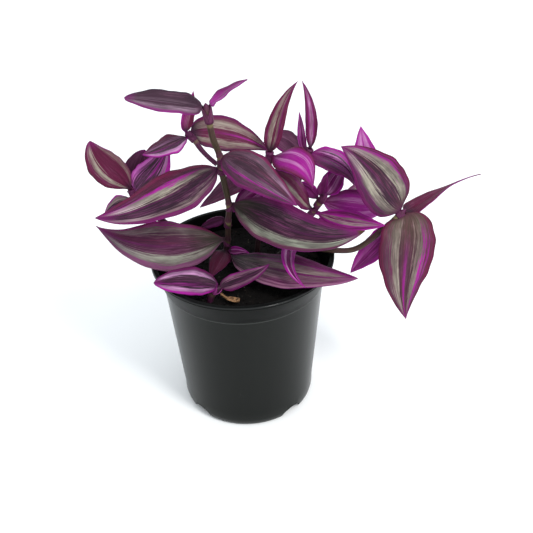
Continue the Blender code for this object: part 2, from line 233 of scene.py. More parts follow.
# %% [markdown]
# ## Studio
#
# The plant stands on a seamless white table under plain soft light. A pale world lights every side, and one
# large lamp at the front right gives the leaves their shape and throws a faint shadow back to the left.

# %% Studio
FLOOR_SIZE = 8.0
KEY_PLACE = Vector((0.47, -0.54, 0.90))
KEY_SIZE = 0.28
KEY_POWER = 7.6
WORLD_STRENGTH = 1.2

floor_bm = bmesh.new()
bmesh.ops.create_grid(floor_bm, x_segments=1, y_segments=1, size=FLOOR_SIZE / 2)
floor = object_of(mesh_of(floor_bm, "floor", smooth=False), "floor")
table = Finish("white_table", Base_Color=(0.93, 0.935, 0.94, 1.0), Roughness=0.6)
floor.data.materials.append(table.material)

lamp_data = bpy.data.lights.new("key", "AREA")
lamp_data.size = KEY_SIZE
lamp_data.energy = KEY_POWER
lamp_data.color = (1.0, 0.985, 0.96)
lamp = object_of(lamp_data, "key")
lamp.location = KEY_PLACE
lamp.rotation_euler = (KEY_PLACE - CAMERA_TARGET).to_track_quat("Z", "Y").to_euler()
world = bpy.data.worlds.new("studio")
world.use_nodes = True
sky = world.node_tree.nodes["Background"]
sky.inputs["Color"].default_value = (0.92, 0.97, 1.0, 1.0)
sky.inputs["Strength"].default_value = WORLD_STRENGTH
bpy.context.scene.world = world
bpy.context.scene.view_settings.view_transform = "Standard"
print("studio ready")

# %% [markdown]
# ## Leaf finish
#
# The upper side of a leaf is dark purple, with a silvery band along either side of the midrib and often a
# magenta line between band and margin. The silver is air under the skin, so a band breaks up into fine
# streaks that follow the veins. The pattern is drawn in the leaf's own measure: how far along it a place is,
# from base to tip, and how far across, from one edge (-1) to the other (1). Leaves differ, so each carries
# its colours and the places of its bands as attributes, and all of them share two materials.

# %% Leaf colours
NIGHT = srgb(56, 34, 50)
DUSK = srgb(66, 44, 58)
PLUM = srgb(86, 42, 70)
WINE = srgb(104, 32, 66)
HEATHER = srgb(96, 46, 74)
MAROON = srgb(108, 26, 88)
MAGENTA = srgb(168, 30, 150)
ORCHID = srgb(192, 84, 178)
PINK = srgb(222, 160, 212)
OLIVE = srgb(88, 70, 64)
MOSS = srgb(66, 62, 54)
SHADOW = srgb(30, 20, 28)
SLATE = srgb(84, 54, 66)
MAUVE = srgb(126, 80, 108)
LILAC = srgb(150, 122, 142)
ROSE = srgb(170, 116, 146)
BEIGE = srgb(178, 173, 155)
SAGE = srgb(158, 164, 146)
BARK_BROWN = srgb(86, 62, 44)

SOFT = 0.08  # half the width of a band's soft edge
VEIN_NOISES = (  # lumps per mm along and across, shift from leaf to leaf, detail and roughness
    (0.022, 0.40, 90, 3.0, 0.6),  # coarse
    (0.035, 0.95, 50, 4.0, 0.65),  # streak
    (0.12, 2.8, 30, 2.0, 0.7),  # fine
    (0.08, 0.20, 70, 3.0, 0.6),  # cloud
)


def leaf_measure(finish):
    """How far along and across a place is, and the noises, in millimetres, that follow the veins."""
    u, across, seed = finish.attribute("place")
    length, width, reach = finish.attribute("size")
    run, off = u * length, across * width * 0.5
    coarse, streak, fine, cloud = (
        finish.noise(finish.join(run * along, off * over, seed * shift), 1.0, detail, roughness)
        for along, over, shift, detail, roughness in VEIN_NOISES)
    streak, fine, cloud = (finish.rise(value, 0.30, 0.70) for value in (streak, fine, cloud))
    return u, across, reach, coarse, streak, fine, cloud


def leaf_upper():
    finish = Finish("leaf_upper", Specular_IOR_Level=0.08)
    mix, rise = finish.mix, finish.rise
    u, across, reach, coarse, streak, fine, cloud = leaf_measure(finish)
    ground, base_color, low_edge, high_edge, band_color = (
        finish.carried(name)
        for name in ("ground", "base_color", "low_edge", "high_edge", "band_color"))
    light, brown_tip, _ = finish.attribute("tone")
    _, margin_start, _ = finish.attribute("foot")
    lines = finish.attribute("lines")
    away = abs(across)
    wander = (coarse - 0.5) * 0.40 + (streak - 0.5) * 0.24 + (fine - 0.5) * 0.12
    edge = away + wander
    side = rise(across, -0.03, 0.03)
    low, high = finish.attribute("low_band"), finish.attribute("high_band")
    inner, outer, strength = (a + (b - a) * side for a, b in zip(low, high))
    body = rise(edge, inner - SOFT, inner + SOFT) * (1 - rise(edge, outer - SOFT, outer + SOFT))
    ends = rise(u, 0.02, 0.16) * (1 - rise(u, 0.86, 0.99) * 0.8)
    near_base = 1 - rise(u, 0.3 * reach, reach + 0.1)
    silver = body * ends * strength * (0.66 + 0.34 * streak) * (0.45 + 0.55 * cloud) * (1 - 0.6 * near_base)
    margin_color = mix(side, low_edge, high_edge)
    margin = rise(away + (streak - 0.5) * 0.14, margin_start, 0.96)
    light_streaks = rise(fine * 0.4 + streak * 0.6, 0.40, 0.85)
    veil = rise(fine * 0.5 + cloud * 0.5, 0.50, 0.95) * ends
    line = rise(edge, outer - 0.02, outer + 0.06) * (1 - rise(edge, outer + 0.10, outer + 0.20))
    line_strength = lines[0] + (lines[1] - lines[0]) * side
    rib = (1 - rise(away, 0.02, 0.10)) * rise(u, 0.25, 0.8)
    color = finish.layers(
        ground,
        (near_base, base_color),
        (light_streaks * (0.25 + 0.45 * u), margin_color),
        (veil * 0.30, MAUVE),
        (margin, margin_color),
        (line * line_strength * rise(u, 0.05, 0.45), MAGENTA),
        (rib * lines[2], MAGENTA),
        (silver, band_color),
        (silver * rise(u, 0.6, 0.9) * lines[1] * 0.5, PINK),
        (rise(u, 0.84, 1.0) * 0.6, mix(0.5, margin_color, MAGENTA)),  # the tip
        (rise(u, 0.95, 0.98) * brown_tip, BARK_BROWN),
        ((1 - rise(u, -0.02, 0.10)) * 0.7, mix(0.5, NIGHT, low_edge)),  # the foot
    )
    # light paints shade over a whole leaf that lies in shade, and light over one in full light
    shade = light * (0.56 + 0.18 * cloud + 0.24 * streak + 0.34 * fine)
    roughness = 0.44 - silver * 0.08 + (fine - 0.5) * 0.2
    return finish.done(finish.shaded(color, shade), roughness, fine * 0.4 + streak * 0.6, 0.5, 0.25)


def leaf_under():
    finish = Finish("leaf_under", Specular_IOR_Level=0.08)
    mix, rise = finish.mix, finish.rise
    u, across, _, coarse, streak, fine, cloud = leaf_measure(finish)
    low_edge = finish.carried("low_edge")
    light, _, under = finish.attribute("tone")
    away = abs(across) + (coarse - 0.5) * 0.3
    # painted light: the underside is lighter in a band where light shines through the thin leaf
    band = rise(away, 0.25, 0.4) * (1 - rise(away, 0.6, 0.75)) * rise(u, 0.1, 0.3)
    pink, _, _ = finish.attribute("foot")
    sheath = mix(streak, srgb(52, 32, 40), srgb(92, 60, 62))
    sheath = mix(pink, sheath, mix(streak, srgb(120, 36, 100), srgb(186, 84, 164)))
    color = finish.layers(
        mix(under, srgb(92, 30, 72), srgb(172, 44, 156)),
        (streak * 0.55, srgb(84, 26, 70)),
        (band * under * 0.5, srgb(204, 112, 192)),
        (rise(u, 0.84, 1.0) * 0.6, low_edge),
        ((1 - rise(u, -0.02, 0.06)) * 0.9, sheath),
    )
    # light paints shade over a whole underside that lies in shade, and light over one in full light
    shade = light * (0.62 + 0.16 * cloud + 0.22 * streak + 0.24 * fine)
    return finish.done(finish.shaded(color, shade), 0.48 + (fine - 0.5) * 0.2, fine * 0.5 + streak, 0.5, 0.25)


LEAF_UPPER = leaf_upper()
LEAF_UNDER = leaf_under()
print("leaf finishes:", LEAF_UPPER.name, LEAF_UNDER.name)

# %% [markdown]
# ## Growth plan
#
# A stem is a route, in millimetres, from its root in the soil. A leaf's row holds the point of the route
# that it leaves, its tip, its width, the way it faces, how far it arches and swings, both as shares of its
# length, and the angle of its fold. Where a leaf is not the usual shape, the row goes on with where it is
# widest, how it tapers to the base, its twist in degrees and how it draws out to the point. The CAD solids
# follow the same plan, so the fine pieces lie on them.

# %% Stems
Stem = namedtuple("Stem", "radius route")
Leaf = namedtuple("Leaf", "stem at tip width facing arch sweep fold widest taper twist point",
                  defaults=(0.40, 0.85, 0, 0.85))
END = -1  # a leaf that goes on from the end of its stem

STEMS = {
    "front": Stem(1.8, ((-9, 8, 78), (-9, 7, 87), (-9, 6, 92), (-9, 5, 98), (-8, 3, 105),
                        (-7, 0, 119), (-6, -2, 131), (-9, -5, 155), (-9, -6, 162),
                        (-12, -9, 175), (-14, -12, 194))),
    "far_left": Stem(1.6, ((-24, 14, 78), (-25, 14, 87), (-34, 12, 102), (-47, 8, 119),
                           (-57, 4, 133), (-59, 4, 138))),
    "middle": Stem(1.7, ((8, 15, 78), (8, 15, 87), (11, 12, 110), (15, 8, 134), (16, 7, 147),
                         (17, 6, 157))),
    "back_right": Stem(1.6, ((18, 24, 78), (18, 24, 87), (25, 23, 108), (33, 20, 132),
                             (37, 17, 147), (39, 16, 153))),
    "inner_right": Stem(1.6, ((21, 9, 78), (21, 9, 87), (28, 8, 105), (41, 5, 121),
                              (44, 4, 127), (47, 2, 132))),
    "far_right": Stem(1.5, ((34, 22, 78), (34, 22, 87), (46, 20, 106), (59, 18, 118),
                            (70, 17, 128))),
    "right": Stem(1.7, ((15, 1, 78), (15, 1, 87), (26, 5, 96), (38, 2, 98), (52, -3, 98.9),
                        (65, -4, 101), (81, -4, 115), (90, -4, 125))),
    "low_front": Stem(2.0, ((-18, -29, 78), (-18, -29, 87), (-15, -28, 92), (-11, -28, 94))),
    "left_shoot": Stem(1.4, ((-11, -2, 155), (-15, 0, 158), (-19, 2, 162), (-22, 4, 166),
                             (-26, 6, 170))),
}

LEAVES = {}


def add_leaves(stem, first, *rows):
    """Leaves of a stem, the first of them with this number."""
    for number, row in enumerate(rows, first):
        LEAVES[f"{stem}_leaf_{number}"] = Leaf(stem, *row)


# The front stem, from the crown down, and its side shoot.
add_leaves(
    "front", 1,
    (10, (-53, -14, 199), 17, (0, -0.35, 1), 0.1, -0.1, 20, 0.45, 0.4, 0, 0.55),
    (10, (7, -6, 203), 12, (-0.4, 0, 1), 0.05, 0, 24, 0.36, 0.4),
    (7, (-71, -38, 146), 28, (0, -0.4, 1), 0.02, -0.15, 12, 0.48, 0.8),
    (8, (30, -22, 140), 23, (0.2, -0.6, 1), 0.1, 0.03, 16),
    (6, (65, -28, 127), 27, (0, -0.8, 1), 0.03, 0.21, 22, 0.46, 1.05),
    (4, (-77, -14, 127), 30, (0, -0.8, 1), 0.04, -0.2, 14, 0.52, 1, 0, 1.2),
    (2, (61, -38, 104), 28, (0, -0.15, 1), 0.01, 0.1, 12, 0.52, 0.9),
    (3, (-18, -16, 92), 12, (0, -0.3, 1), 0.06, 0, 12),
    (5, (-24, 10, 109), 6, (0, -1, 0.2), 0.06, 0, 12),
    (3, (4, -9, 103), 5, (0, -1, 0.6), 0.08, -0.08, 20),
)
add_leaves(
    "left_shoot", 1,
    (4, (-49, -4, 163), 19, (0, -0.1, 1), -0.06, -0.06, 18, 0.5, 0.9),
    (4, (16, 14, 154), 21, (0, -0.8, 1), 0.12, -0.06, 14),
    (END, (-22, 18, 188), 7, (0, -1, 0.3), 0, 0.04, 20),
)
add_leaves(
    "far_left", 1,
    (END, (-76, 0, 170), 20, (-0.2, -1, 0.4), 0.04, -0.1, 14, 0.55, 0.9, 0, 0.7),
    (4, (-51, 18, 155), 21, (0.2, -1, 0.4), 0, -0.04, 14, 0.5, 1.2, 0, 0.6),
    (5, (-37, 7, 163), 19, (0.2, -1, 0.4), 0.02, 0.1, 14),
    (4, (-73, -6, 129), 14, (0, -0.3, 1), 0.2, 0, 16),
)
add_leaves(
    "middle", 1,
    (END, (32, 2, 198), 10, (0, -1, 0.4), 0, -0.1, 18, 0.36, 1.1),
    (5, (39, -8, 142), 20, (0, -0.4, 1), 0.64, 0, 16, 0.48, 1.1),
    (4, (-23, 12, 121), 14, (0, -0.6, 1), 0.04, 0, 14),
    (3, (-4, 4, 122), 16, (0, -0.6, 1), 0.1, 0, 14),
)
add_leaves(
    "back_right", 1,
    (END, (35, 20, 191), 7, (0, -1, 0.3), 0, 0.1, 18, 0.42, 1.2),
    (4, (14, 26, 153), 18, (0, -0.3, 1), 0.5, 0, 16),
    (5, (33, 10, 178), 5, (0, -1, 0.3), 0, 0, 24),
    (5, (63, 8, 134), 18, (0, -0.3, 1), 0.34, 0, 16),
)
add_leaves(
    "inner_right", 1,
    (4, (86, 24, 110), 19, (0, -1, 0.3), 0.08, 0, 14, 0.5, 0.9),
    (3, (78, -12, 120), 14.5, (0, -0.5, 1), 0.08, 0.1, 14, 0.5, 1.1),
    (5, (47, -4, 148), 6, (0, -1, 0.3), 0, 0, 24),
    (3, (17, -4, 152), 16, (0, -0.5, 1), 0.1, 0, 16, 0.55, 0.8),
    (5, (58, 20, 139), 13, (0, -1, 0.4), 0.1, -0.06, 16, 0.45, 1),
    (2, (33, -43, 103), 9, (0, -1, 0.5), 0.1, 0.18, 26),
    (4, (31.5, 18, 131), 8, (0, -1, 0.6), 0.05, 0.1, 14, 0.5, 1),
)
add_leaves("far_right", 1, (END, (66, 13, 167), 17, (0, -1, 0.4), 0, 0, 12, 0.38, 0.85))
# The right stem, which runs out over the rim.
add_leaves(
    "right", 1,
    (7, (54, -4, 164), 30, (0.3, -1, 0.5), 0.04, 0.09, 12),
    (7, (135, 18, 133), 12, (0, -0.4, 1), 0.05, -0.05, 20, 0.26, 0.9, -70, 1.3),
    (7, (91, -24, 65), 31.5, (0, -1, 0.3), 0.1, 0.08, 10, 0.38, 0.6, 0, 1),
    (6, (62, 2, 80), 15, (-0.4, -1, -0.3), 0.1, 0.03, 16),
)
add_leaves(
    "low_front", 1,
    (3, (-47, -32, 101), 17, (0, -0.6, 1), 0.12, 0, 16, 0.5, 0.7, 0, 0.6),
    (3, (15, -22, 104), 10, (0, -0.6, 1), 0.04, 0.1, 16),
)
# Leaves at the back.
add_leaves("back_right", 5, (3, (28, 62, 122), 18, (0, 0.2, 1), 0.14, 0, 14))
add_leaves("middle", 5, (3, (0, 50, 120), 20, (0, 0.2, 1), 0.14, 0, 14))
add_leaves("far_left", 5, (3, (-60, 45, 112), 18, (0, 0.2, 1), 0.14, 0, 14))
add_leaves("far_right", 2, (3, (92, 48, 112), 20, (0, 0.2, 1), 0.14, 0, 14))
print(len(STEMS), "stems and", len(LEAVES), "leaves")

# %% [markdown]
# Leaves differ in colour with age, and the light and shade that fall on each are painted into it. A look
# names a leaf's ground colour, the colours of its two margins and of its bands; then each band's start, end
# and strength, first the one on the low side of the midrib (across below 0); then how strong the magenta
# lines are outside the low band, outside the high band and on the midrib; how light the leaf is, a factor
# that paints shade on leaves in shade and light on leaves in full light; how brown its tip; how magenta its
# underside; how pink its sheath; where the margins' colour begins, as a share of the way to the edge; and
# the ground's colour near the base, with the share of the length that it reaches.

# %% Leaf looks
Look = namedtuple("Look", "ground low_edge high_edge band low high lines"
                          " light brown_tip under sheath margin base reach",
                  defaults=(1.0, 0.0, 0.7, 0.2, 0.7, NIGHT, 0.15))
FAINT = (0.25, 0.65, 0.25)
PLAIN_LOOK = Look(PLUM, WINE, WINE, BEIGE, (0.25, 0.65, 0.7), (0.25, 0.65, 0.7), (0.3, 0.3, 0.1))
LOOKS = {}


def add_looks(stem, *looks):
    """Looks for the leaves of a stem, from its first leaf on."""
    for number, look in enumerate(looks, 1):
        LOOKS[f"{stem}_leaf_{number}"] = look


add_looks(
    "front",
    Look(DUSK, PLUM, NIGHT, LILAC, (0.3, 0.8, 1), (0, 0.22, 0.5), (0.4, 0, 0), 1.15, sheath=0.1, base=NIGHT,
         reach=0.35),
    Look(MAROON, MAROON, ORCHID, PINK, (0.05, 0.3, 0.3), (0.3, 0.7, 0.5), (0.4, 0.9, 0), 1, sheath=0.2,
         base=MAGENTA, reach=0.5),
    Look(NIGHT, MAROON, WINE, BEIGE, (0.62, 0.84, 0.6), (0.14, 0.38, 1), (0, 0.9, 0.1), 0.95, margin=0.5,
         base=NIGHT, reach=0.5),
    Look(DUSK, WINE, MAROON, LILAC, (0.5, 0.8, 0.5), (0.1, 0.35, 0.45), (0.1, 0.9, 0.1), 1, base=DUSK,
         reach=0.5),
    Look(NIGHT, MAROON, HEATHER, SAGE, (0.3, 0.6, 0.05), (0.46, 0.8, 1), (0.2, 0, 0.1), 0.92, brown_tip=1,
         margin=0.6, base=MOSS, reach=0.3),
    Look(PLUM, MAUVE, WINE, SAGE, (0.42, 0.74, 0.9), (0.45, 0.8, 0.4), (0.2, 0.4, 0.2), 0.92, margin=0.6,
         base=MOSS, reach=0.4),
    # its dark SHADOW base and lower light are painted shadow, where another leaf shades it
    Look(MAROON, MAROON, ROSE, BEIGE, (0.05, 0.45, 0.7), (0.1, 0.6, 0.3), (0.5, 0, 0.3), 0.85, base=SHADOW,
         reach=0.6),
    # these two lie low among the stems, and their low light is painted shade
    Look(WINE, WINE, NIGHT, MAUVE, FAINT, FAINT, (0, 0, 0), 0.55),
    Look(PLUM, MAROON, MAROON, ORCHID, FAINT, FAINT, (0.4, 0, 0), 0.6),
    Look(MAROON, MAGENTA, MAROON, PINK, (0.2, 0.5, 0.6), (0.5, 0.8, 0.3), (0.5, 0.5, 0.2), under=1,
         sheath=0.8),
)
add_looks(
    "left_shoot",
    Look(DUSK, MAGENTA, WINE, PINK, (0.48, 0.86, 1), (0.25, 0.6, 0.35), (1, 0, 0.6), margin=0.55),
    Look(WINE, MAROON, PLUM, BEIGE, (0.32, 0.68, 0.7), (0.38, 0.76, 0.85), (0.1, 0.1, 0.8), 0.9,
         margin=0.8),
    Look(WINE, MAGENTA, WINE, ROSE, (0, 0.4, 0.3), (0, 0.4, 0.6), (0.4, 0, 0)),
)
add_looks(
    "far_left",
    Look(WINE, WINE, WINE, BEIGE, (0.34, 0.6, 1), (0.74, 0.96, 0.45), (0.1, 0.1, 0), 0.95),
    Look(PLUM, PLUM, MAROON, MAUVE, FAINT, FAINT, (0, 0, 0), 1.1, reach=0.3),
    Look(DUSK, ORCHID, MAGENTA, PINK, (0.75, 0.9, 0.3), (0.36, 0.6, 0.9), (1, 0.8, 0.9), 1.1, margin=0.5),
    Look(NIGHT, MAGENTA, MAGENTA, BEIGE, (0.3, 0.6, 0.3), (0.34, 0.78, 0.95), (0.4, 0.4, 0.1), 0.9,
         margin=0.8, base=NIGHT, reach=0.5),
)
add_looks(
    "middle",
    Look(WINE, WINE, WINE, BEIGE, (0.15, 0.5, 0.9), (0.1, 0.35, 0.5), (0.3, 0.3, 0.1)),
    Look(MAGENTA, WINE, WINE, PINK, (0.4, 0.6, 0.85), (0.05, 0.26, 0.7), (0.6, 0.6, 0.3), 0.9, under=0.8,
         margin=0.5, base=MAROON, reach=0.3),
    Look(PLUM, WINE, PLUM, MAUVE, (0.5, 0.9, 0.5), FAINT, (0.2, 0, 0)),
    Look(MAROON, MAGENTA, MAROON, PINK, (0.2, 0.5, 0.5), FAINT, (0.6, 0.4, 0.3)),
)
add_looks(
    "back_right",
    Look(WINE, MAROON, MAROON, PINK, (0.05, 0.35, 0.6), (0, 0.35, 0.8), (0.5, 0.5, 0.1)),
    Look(PLUM, MAROON, PLUM, MAUVE, FAINT, (0.2, 0.6, 0.6), (0, 0, 0)),
    Look(MAROON, ORCHID, MAROON, PINK, FAINT, FAINT, (0.5, 0.5, 0.3)),
    Look(NIGHT, MAGENTA, MAROON, PINK, (0.4, 0.66, 0.9), (0.1, 0.3, 0.2), (1, 0.3, 0.6), under=0.8,
         margin=0.5, base=MAROON, reach=0.3),
)
add_looks(
    "inner_right",
    Look(MAGENTA, MAROON, ORCHID, PINK, (0.2, 0.5, 0.5), (0.35, 0.6, 0.5), (0.7, 0.5, 0.5), 0.92, under=1,
         margin=0.45, base=MAROON, reach=0.4),
    Look(MAROON, MAGENTA, MAGENTA, BEIGE, (0.05, 0.25, 0.5), (0.05, 0.4, 0.7), (0.8, 0.8, 0.2), under=1,
         base=MAROON),
    Look(MAROON, MAROON, MAROON, MAUVE, FAINT, FAINT, (0.3, 0.3, 0), 0.9),
    Look(WINE, MAROON, MAROON, BEIGE, (0.12, 0.55, 0.9), (0.3, 0.6, 0.1), (0.2, 0.2, 0.1), 0.95),
    Look(MAROON, MAGENTA, MAGENTA, PINK, FAINT, (0.1, 0.4, 0.5), (0.3, 0.3, 0.2), 0.95, under=1),
    Look(MAROON, MAGENTA, MAGENTA, PINK, (0.3, 0.6, 0.7), (0.3, 0.6, 0.9), (0.8, 0.8, 0), 1.05, margin=0.6),
    Look(MAROON, MAROON, MAGENTA, ORCHID, FAINT, FAINT, (0.5, 0.3, 0.4), 0.95, under=0.8),
)
add_looks(
    "far_right",
    Look(ORCHID, MAGENTA, MAGENTA, PINK, (0.1, 0.6, 0.9), (0.1, 0.6, 0.9), (0.6, 0.6, 0.6), 1.2, under=0.8,
         base=ORCHID),
)
add_looks(
    "right",
    Look(DUSK, MAROON, WINE, BEIGE, (0.28, 0.6, 0.9), (0.36, 0.68, 0.9), (0.3, 0.8, 0.1), 0.95, margin=0.75,
         base=SLATE),
    Look(WINE, WINE, WINE, MAUVE, FAINT, FAINT, (0, 0, 0), 0.85),
    Look(SLATE, WINE, WINE, BEIGE, (0.34, 0.56, 0.7), (0.26, 0.6, 0.75), (1, 0.1, 0.8), 0.98, margin=0.75,
         base=OLIVE, reach=0.4),
    Look(MAROON, MAGENTA, MAGENTA, ORCHID, FAINT, (0.2, 0.6, 0.5), (0.6, 0.6, 0.4), under=1),
)
add_looks(
    "low_front",
    Look(NIGHT, MAGENTA, MAROON, PINK, (0.48, 0.78, 0.95), (0.46, 0.68, 0.95), (0.5, 0.2, 0), 0.88, under=1,
         sheath=1, margin=0.7),
    Look(NIGHT, MAROON, MAROON, ROSE, (0.45, 0.8, 0.8), (0.3, 0.65, 0.6), (0.7, 0.3, 0.1), under=1,
         sheath=1),
)
print("leaves with a look of their own:", len(LOOKS))

# %% [markdown]
# ## Leaf blades
#
# A tradescantia leaf is a long, slightly fleshy blade: rounded where it clasps the stem, widest before the
# middle, drawn out to a point, and folded a little along its midrib. One flat grid makes all of them. Each
# leaf bends a copy of it along a Bezier curve, its midrib, and a Solidify modifier gives it its
# thickness and puts the magenta underside on the new faces.

# %% Blade shape
BLADE_STATIONS = 46
SHEATH_STATIONS = 6
BLADE_STRIPS = 18
BLADE_THICKNESS = 0.55
SEAT_GAP = 0.3
SEAT_DROP = 0.4  # mm that a leaf at the end of its stem starts below it
BASE_HALF_WIDTH = 1.3
BASE_SHARE = 0.12  # of the leaf's width, for small leaves
TIP_HALF_WIDTH = 0.12
TIP_PULL = 0.12
EDGE_DROOP = 0.16
BASE_FOLD = 0.35
FOLD_RISE = 3.0
LEAVE_SHARE = 0.18
BEND_SHARE = 0.62
BEND_GAIN = 1.33
RIPPLE = 0.06  # of the half width
RIPPLES_PER_LEAF = 2.3
UNEVEN = 0.014  # how far an edge wanders in and out, of the half width
LEAF_SEED = 11
EDGE_WAVES = ((1.7, 3.0), (3.9, 7.0), (6.3, 5.0))  # waves per leaf, and how far its seed shifts them


def half_width(share, widest=0.40, taper=0.85, point=0.85):
    """Outline of a blade: drawn in at the base, widest where the leaf says, drawn out at the tip."""
    power = math.log(0.5) / math.log(widest)
    swell = max(math.sin(math.pi * share ** power), 0.0) ** (taper if share < widest else point)
    return swell * (1.0 - TIP_PULL * share ** 6)


def base_half_width(leaf):
    return min(BASE_HALF_WIDTH, BASE_SHARE * leaf.width)


def square_to(axis, vector):
    """The way a vector points once what it has along an axis is taken out."""
    return (vector - vector.dot(axis) * axis).normalized()


def node_of(leaf):
    """The leaf's node, the stem's direction there, and whether the stem ends there."""
    route = STEMS[leaf.stem].route
    node = Vector(route[leaf.at])
    last = leaf.at in (END, len(route) - 1)
    after = node if last else Vector(route[leaf.at + 1])
    return node, (after - Vector(route[leaf.at - 1])).normalized(), last


def seat(leaf):
    """Where the leaf starts, clear of its stem, and the direction in which it leaves it."""
    node, axis, last = node_of(leaf)
    if leaf.at == END:
        return node + axis * 2 * SEAT_GAP, axis
    out = square_to(axis, Vector(leaf.tip) - node)
    if last:
        node = node - axis * (base_half_width(leaf) + SEAT_DROP)
    return node + out * (STEMS[leaf.stem].radius + 1.5 * SEAT_GAP), out


def midrib(leaf):
    """Control points of the leaf's midrib, a Bezier curve from its seat to its tip."""
    start, out = seat(leaf)
    tip = Vector(leaf.tip)
    length = (tip - start).length
    along = (tip - start).normalized()
    upward = square_to(along, Vector(leaf.facing))
    side = along.cross(upward)
    lean = upward * leaf.arch * length + side * leaf.sweep * length
    leave = (out + along).normalized()
    return (
        start,
        start + leave * LEAVE_SHARE * length,
        start + along * BEND_SHARE * length + lean * BEND_GAIN,
        tip,
    )


def bezier(points, t):
    a, b, c, d = points
    s = 1 - t
    place = a * s ** 3 + b * 3 * s * s * t + c * 3 * s * t * t + d * t ** 3
    slope = (b - a) * s * s + (c - b) * 2 * s * t + (d - c) * t * t
    return place, slope.normalized()


def blade_point(leaf, points, share, across, seed):
    """A place on the blade: share runs from base to tip, across from one edge (-1) to the other."""
    place, along = bezier(points, share)
    upward = square_to(along, Vector(leaf.facing))
    upward = Matrix.Rotation(math.radians(leaf.twist) * share, 3, along) @ upward
    side = along.cross(upward)
    wide = leaf.width / 2 * half_width(share, leaf.widest, leaf.taper, leaf.point)
    wide = max(wide, base_half_width(leaf) if share < 0.3 else TIP_HALF_WIDTH)
    fold = math.radians(leaf.fold) * min(1.0, BASE_FOLD + share * FOLD_RISE)
    soft = math.sqrt(across ** 2 + 0.003) - 0.055  # the crease is rounded
    lift = soft * math.sin(fold) - EDGE_DROOP * across ** 2
    wave = math.sin(math.tau * (RIPPLES_PER_LEAF * share + seed + 0.25 * across))
    lift += RIPPLE * across ** 2 * wave
    wander = sum(math.sin(math.tau * (waves * share + shift * seed + (across > 0) * 0.35))
                 for waves, shift in EDGE_WAVES)
    reach = across * (1 + UNEVEN * across ** 2 * wander)
    return place + side * reach * wide * math.cos(fold) + upward * lift * wide


# %% [markdown]
# The foot of a leaf is a sheath that clasps the stem just below the node. It starts as a nearly closed ring
# round the stem and narrows upwards into the foot of the blade, so the same grid can carry both.

# %% Sheath shape
SHEATH_WRAP = math.radians(158)
SHEATH_MOUTH = math.radians(50)
SHEATH_LENGTH = 4.2
SHEATH_SHARE = 0.06  # how far below the blade's 0 a sheath starts in the pattern
CROWN_SHEATH = 9.6  # the pair at the top of the front stem clasps it with a long, loose sheath
SHEATH_CLEARANCE = 0.25
CROWN_CLEARANCE = 0.75


def sheath_point(leaf, points, rise, across, seed):
    """A place on the sheath: rise runs from its ring on the stem (0) to the foot of the blade (1)."""
    node, axis, last = node_of(leaf)
    if last and leaf.at != END:
        node = node - axis * (base_half_width(leaf) + SEAT_DROP)
    foot = blade_point(leaf, points, 0.0, across, seed)
    middle = blade_point(leaf, points, 0.0, 0.0, seed)
    out = square_to(axis, -Vector(leaf.facing) if leaf.at == END else middle - node)
    tangent = axis.cross(out)
    edge = blade_point(leaf, points, 0.0, 1.0, seed) - middle
    if edge.dot(tangent) < 0:
        tangent.negate()
    angle = across * (SHEATH_WRAP + (SHEATH_MOUTH - SHEATH_WRAP) * rise)
    crown = last and leaf.stem == "front"
    long = CROWN_SHEATH if crown else SHEATH_LENGTH
    loose = CROWN_CLEARANCE if crown else SHEATH_CLEARANCE
    reach = STEMS[leaf.stem].radius + SHEATH_CLEARANCE + loose * rise
    around = (out * math.cos(angle) + tangent * math.sin(angle)) * reach
    ring = node - axis * long * (1 - rise) + around
    return ring.lerp(foot, rise ** 2.5)


# %% Build the blades
def finished(name, mesh, node, slot, *materials):
    """Makes a piece of a mesh: its object rides on the body and stands for its CAD node. Its slot is not
    used.
    """
    for material in materials:
        mesh.materials.append(material)
    piece = object_of(mesh, name)
    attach(piece, "root")
    if node:
        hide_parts(node)
    return piece


def thicken(piece, thickness):
    shell = piece.modifiers.new("thickness", "SOLIDIFY")
    shell.thickness = thickness * MM
    shell.offset = 0.0
    return shell


def build_blade(name, leaf, seed):
    look = LOOKS.get(name, PLAIN_LOOK)
    points = midrib(leaf)
    rows = BLADE_STATIONS + SHEATH_STATIONS
    bm = flat_grid(rows, BLADE_STRIPS)
    constant = {
        "ground": look.ground,
        "base_color": look.base,
        "low_edge": look.low_edge,
        "high_edge": look.high_edge,
        "band_color": look.band,
        "low_band": look.low,
        "high_band": look.high,
        "lines": look.lines,
        "tone": (look.light, look.brown_tip, look.under),
        "foot": (look.sheath, look.margin, 0.0),
        "size": ((points[3] - points[0]).length, leaf.width, look.reach),
    }
    layers = {key: bm.verts.layers.float_vector.new(key) for key in ("place", *constant)}
    for vert in bm.verts:
        row = round((vert.co.x + 0.5) * rows) - SHEATH_STATIONS
        across = 2 * vert.co.y
        for key, value in constant.items():
            vert[layers[key]] = Vector(value)
        if row < 0:
            rise = 1 + row / SHEATH_STATIONS
            vert[layers["place"]] = Vector((SHEATH_SHARE * (rise - 1), across, seed))
            vert.co = sheath_point(leaf, points, rise, across, seed) * MM
        else:
            share = row / BLADE_STATIONS
            vert[layers["place"]] = Vector((share, across, seed))
            vert.co = blade_point(leaf, points, share, across, seed) * MM
    # Along times across points under the leaf, so the faces are turned to look up.
    bmesh.ops.reverse_faces(bm, faces=bm.faces[:])
    piece = finished(name + "_blade", mesh_of(bm, name), name, "leaf", LEAF_UPPER, LEAF_UNDER)
    shell = thicken(piece, BLADE_THICKNESS)
    shell.material_offset = 1
    shell.material_offset_rim = 1


chance = random.Random(LEAF_SEED)
for name, leaf in LEAVES.items():
    build_blade(name, leaf, chance.random())
print(len(LEAVES), "blades")

